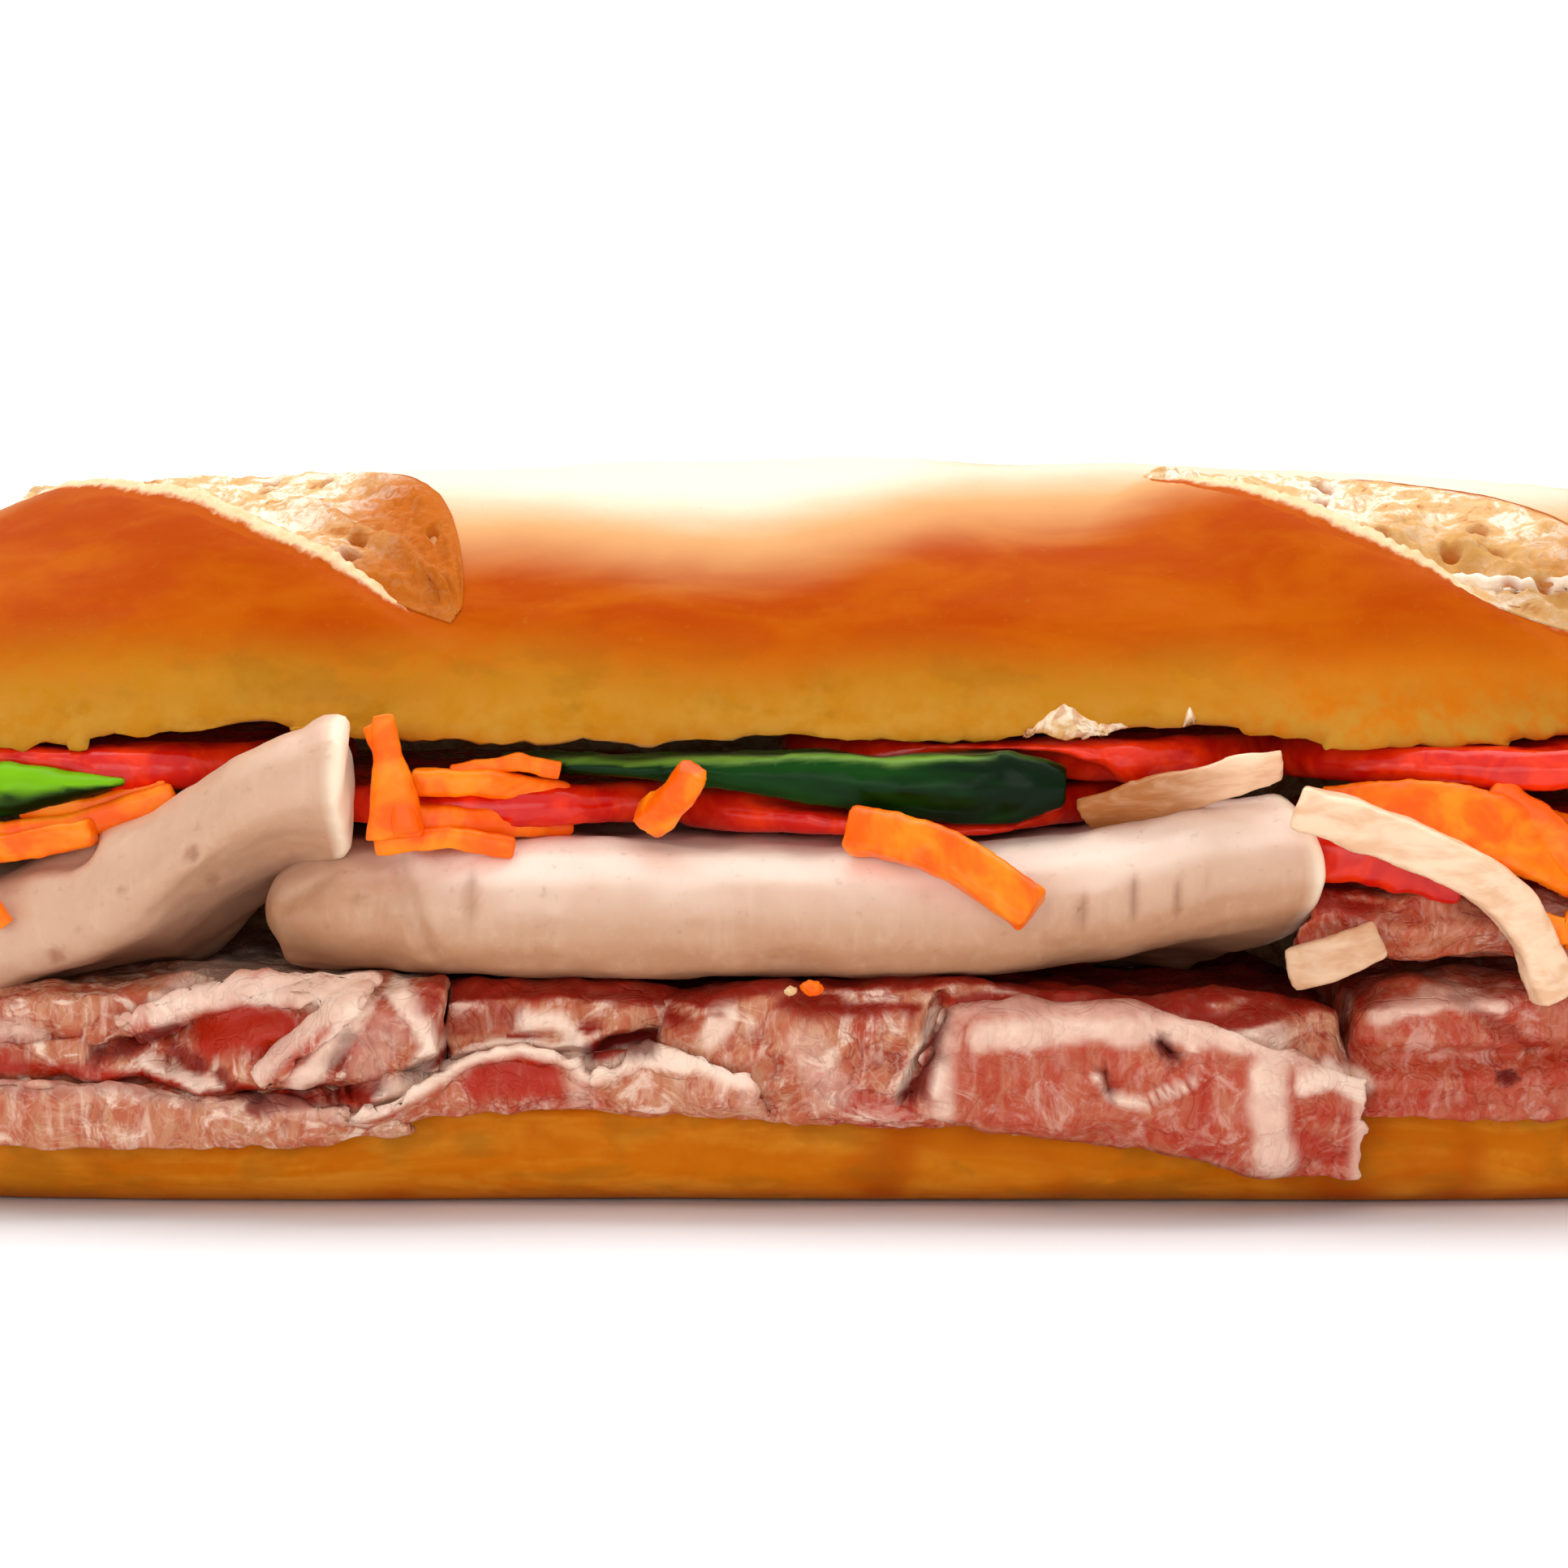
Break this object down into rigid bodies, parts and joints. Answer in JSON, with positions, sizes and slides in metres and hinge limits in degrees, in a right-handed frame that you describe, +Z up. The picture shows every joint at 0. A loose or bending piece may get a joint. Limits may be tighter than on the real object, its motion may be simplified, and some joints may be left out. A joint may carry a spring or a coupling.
{
  "type": "banh mi sandwich",
  "caption": "Crusty scored baguette split along its front, hinged at the back, filled with folded pork roll, ham, tomato, cucumber and pickled carrot and daikon",
  "frame": {"origin": "the middle of the whole sandwich's outline, on the surface it rests on", "axes": "+X along the loaf, -Y towards the open side where the filling shows, +Z up through the scored top crust"},
  "size_m": [0.2576, 0.0839, 0.0648],
  "materials": {
    "crust": "baked wheat bread, thin crisp golden-brown crust over a pale crumb",
    "ham": "moist ham, pink marbled with white fat",
    "pork_roll": "smooth steamed pork roll, pale pinkish beige",
    "tomato": "wet slices of ripe tomato",
    "cucumber": "glossy dark green skin over pale flesh",
    "carrot": "wet pickled carrot",
    "daikon": "wet, slightly clear white radish and onion"
  },
  "bodies": {
    "root": {"baguette": "crust", "carrot_far_left": "carrot", "carrot_high": "carrot", "carrot_left": "carrot", "carrot_low": "carrot", "carrot_ribbon": "carrot", "carrot_right_end": "carrot", "carrot_right_low": "carrot", "carrot_short": "carrot", "carrot_slant": "carrot", "carrot_upright": "carrot", "cucumber_left": "cucumber", "cucumber_middle": "cucumber", "cucumber_right": "cucumber", "daikon_far_left": "daikon", "daikon_flat": "daikon", "daikon_long": "daikon", "daikon_right": "daikon", "ham_far_left": "ham", "ham_far_right": "ham", "ham_left": "ham", "ham_left_fold": "ham", "ham_left_middle": "ham", "ham_long": "ham", "ham_right": "ham", "ham_upper_right": "ham", "onion": "daikon", "pork_roll_left": "pork_roll", "pork_roll_middle": "pork_roll", "pork_roll_right": "pork_roll", "tomato_1": "tomato", "tomato_2": "tomato", "tomato_3": "tomato", "tomato_4": "tomato", "tomato_5": "tomato", "tomato_6": "tomato"}
  },
  "joints": []
}
